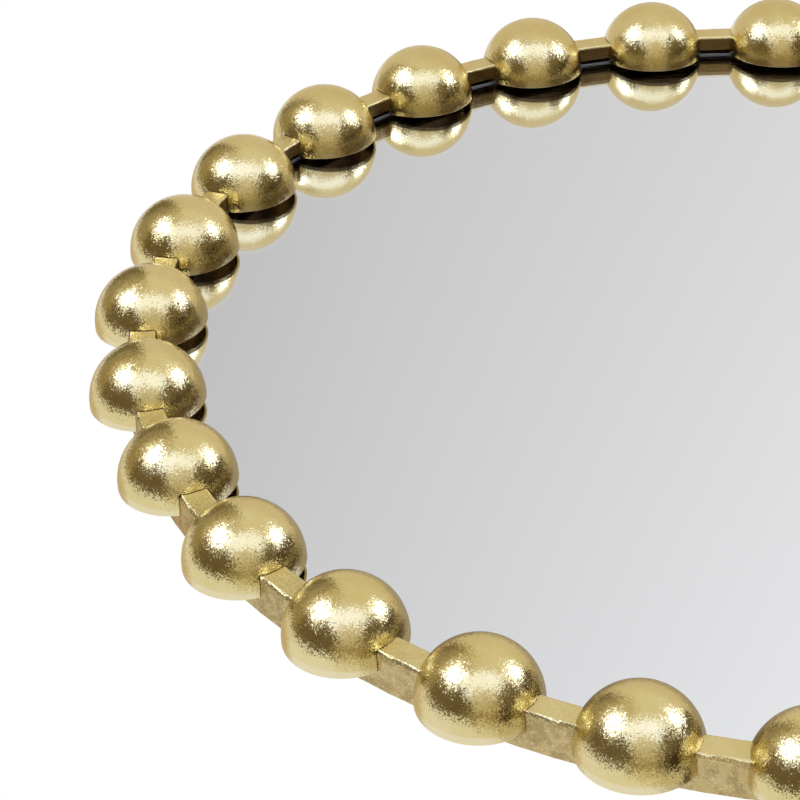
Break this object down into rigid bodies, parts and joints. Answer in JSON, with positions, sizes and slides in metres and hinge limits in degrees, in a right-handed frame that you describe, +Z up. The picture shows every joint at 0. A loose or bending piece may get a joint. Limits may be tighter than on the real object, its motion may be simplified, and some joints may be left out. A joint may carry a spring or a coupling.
{
  "type": "wall mirror",
  "caption": "Round wall mirror: a slim ring frame strung with hollow half-ball beads, recessed glass, screwed backing board, rubber bumpers and hanging straps with swinging D rings.",
  "frame": {"origin": "middle of the backing board's back face, on the mirror's axis", "axes": "+Z up as it hangs, +Y out of the back towards the wall, +X to the right as one looks into the mirror"},
  "size_m": [0.761, 0.0471, 0.7599],
  "materials": {
    "bead_gold": "aged gold leaf, speckled",
    "ring_gold": "aged gold leaf, satin",
    "glass": "polished float glass with a ground arris",
    "silver": "silver coating",
    "foam": "white foam mounting tape",
    "board": "fibreboard, matt black face",
    "steel": "zinc plated",
    "inner_paint": "dark umber paint",
    "rubber_feet": "matt"
  },
  "bodies": {
    "mirror": {"ring_frame": "ring_gold", "mirror_glass": "glass", "silvering": "silver", "foam_tape": "foam", "backing_board": "board", "frame_bosses": "inner_paint", "board_screws": "steel", "hanger_strap_left": "steel", "hanger_strap_right": "steel", "hanger_rivets": "steel", "wall_bumpers": "rubber_feet", "bead_01": "bead_gold", "bead_02": "bead_gold", "bead_03": "bead_gold", "bead_04": "bead_gold", "bead_05": "bead_gold", "bead_06": "bead_gold", "bead_07": "bead_gold", "bead_08": "bead_gold", "bead_09": "bead_gold", "bead_10": "bead_gold", "bead_11": "bead_gold", "bead_12": "bead_gold", "bead_13": "bead_gold", "bead_14": "bead_gold", "bead_15": "bead_gold", "bead_16": "bead_gold", "bead_17": "bead_gold", "bead_18": "bead_gold", "bead_19": "bead_gold", "bead_20": "bead_gold", "bead_21": "bead_gold", "bead_22": "bead_gold", "bead_23": "bead_gold", "bead_24": "bead_gold", "bead_25": "bead_gold", "bead_26": "bead_gold", "bead_27": "bead_gold", "bead_28": "bead_gold", "bead_29": "bead_gold"},
    "left_ring": {"hanger_ring_left": "steel"},
    "right_ring": {"hanger_ring_right": "steel"}
  },
  "joints": [
    {"name": "left_ring_swing", "type": "hinge", "parent": "mirror", "child": "left_ring", "pos_m": [-0.2032, 0.00275, 0.17], "axis": [1, 0, 0], "range_deg": [0, 183]},
    {"name": "right_ring_swing", "type": "hinge", "parent": "mirror", "child": "right_ring", "pos_m": [0.2032, 0.00275, 0.17], "axis": [1, 0, 0], "range_deg": [0, 183]}
  ]
}
